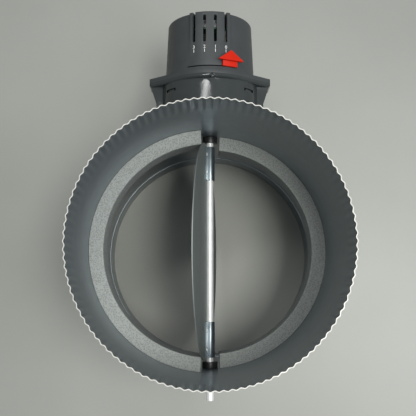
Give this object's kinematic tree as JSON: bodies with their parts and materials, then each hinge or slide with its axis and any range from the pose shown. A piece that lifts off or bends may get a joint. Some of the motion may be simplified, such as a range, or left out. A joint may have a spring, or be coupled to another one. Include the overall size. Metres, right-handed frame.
{
  "type": "motorized round damper",
  "caption": "Round galvanized duct damper with a crimped end, a foam-sealed butterfly blade on a through shaft, and a geared side actuator with a limit pointer on a numbered scale.",
  "frame": {"origin": "centre of the plain end of the duct sleeve, on the plane it stands on", "axes": "+Z along the duct from the plain end to the crimped end, +Y along the blade shaft towards the actuator"},
  "size_m": [0.2072, 0.33, 0.254],
  "materials": {
    "galvanized_sheet": "bright galvanized sheet",
    "blade_sheet": "galvanized sheet",
    "gasket_foam": "open cell foam",
    "bright_steel": "polished",
    "zinc_clip": "zinc plated",
    "zinc_screw": "zinc plated",
    "black_nylon": "moulded",
    "charcoal_gloss": "moulded, semi-gloss",
    "charcoal_satin": "moulded, satin",
    "pointer_red": "moulded, semi-gloss",
    "gear_nylon": "natural nylon",
    "gear_steel": "hobbed steel",
    "motor_steel": "black coated steel can",
    "board_green": "solder mask",
    "terminal_plastic": "moulded",
    "grommet_rubber": "moulded"
  },
  "bodies": {
    "sleeve": {"duct_sleeve": "galvanized_sheet", "upper_stop_gasket": "gasket_foam", "lower_stop_gasket": "gasket_foam", "drive_bushing": "black_nylon", "idle_bushing": "black_nylon", "actuator_base": "charcoal_gloss", "actuator_cover": "charcoal_satin", "base_screws": "zinc_screw", "gear_plate": "zinc_clip", "gear_motor": "motor_steel", "motor_screws": "zinc_screw", "limit_switch": "black_nylon", "board_pillars": "gear_nylon", "control_board": "board_green", "terminal_block": "terminal_plastic", "cable_grommet": "grommet_rubber"},
    "blade": {"blade_disc": "blade_sheet", "damper_shaft": "bright_steel", "drive_side_clip": "zinc_clip", "idle_side_clip": "zinc_clip", "clip_rivets": "bright_steel", "retaining_ring": "zinc_clip", "output_gear": "gear_nylon", "gear_set_screw": "zinc_screw"},
    "pinion": {"drive_pinion": "gear_steel"},
    "pointer": {"limit_pointer": "pointer_red", "pointer_carriage": "pointer_red"}
  },
  "joints": [
    {"name": "blade_turn", "type": "hinge", "parent": "sleeve", "child": "blade", "pos_m": [0, 0, 0.127], "axis": [0, 1, 0], "range_deg": [0, 96]},
    {"name": "pinion_turn", "type": "hinge", "parent": "sleeve", "child": "pinion", "pos_m": [-0.024, 0.13, 0.127], "axis": [0, 1, 0], "range_deg": [-194, 2]},
    {"name": "pointer_turn", "type": "hinge", "parent": "sleeve", "child": "pointer", "pos_m": [0, 0.154, 0.127], "axis": [0, 1, 0], "range_deg": [-48, 0]}
  ],
  "couplings": [
    {"joint": "pinion_turn", "follows": "blade_turn", "ratio": -2}
  ]
}
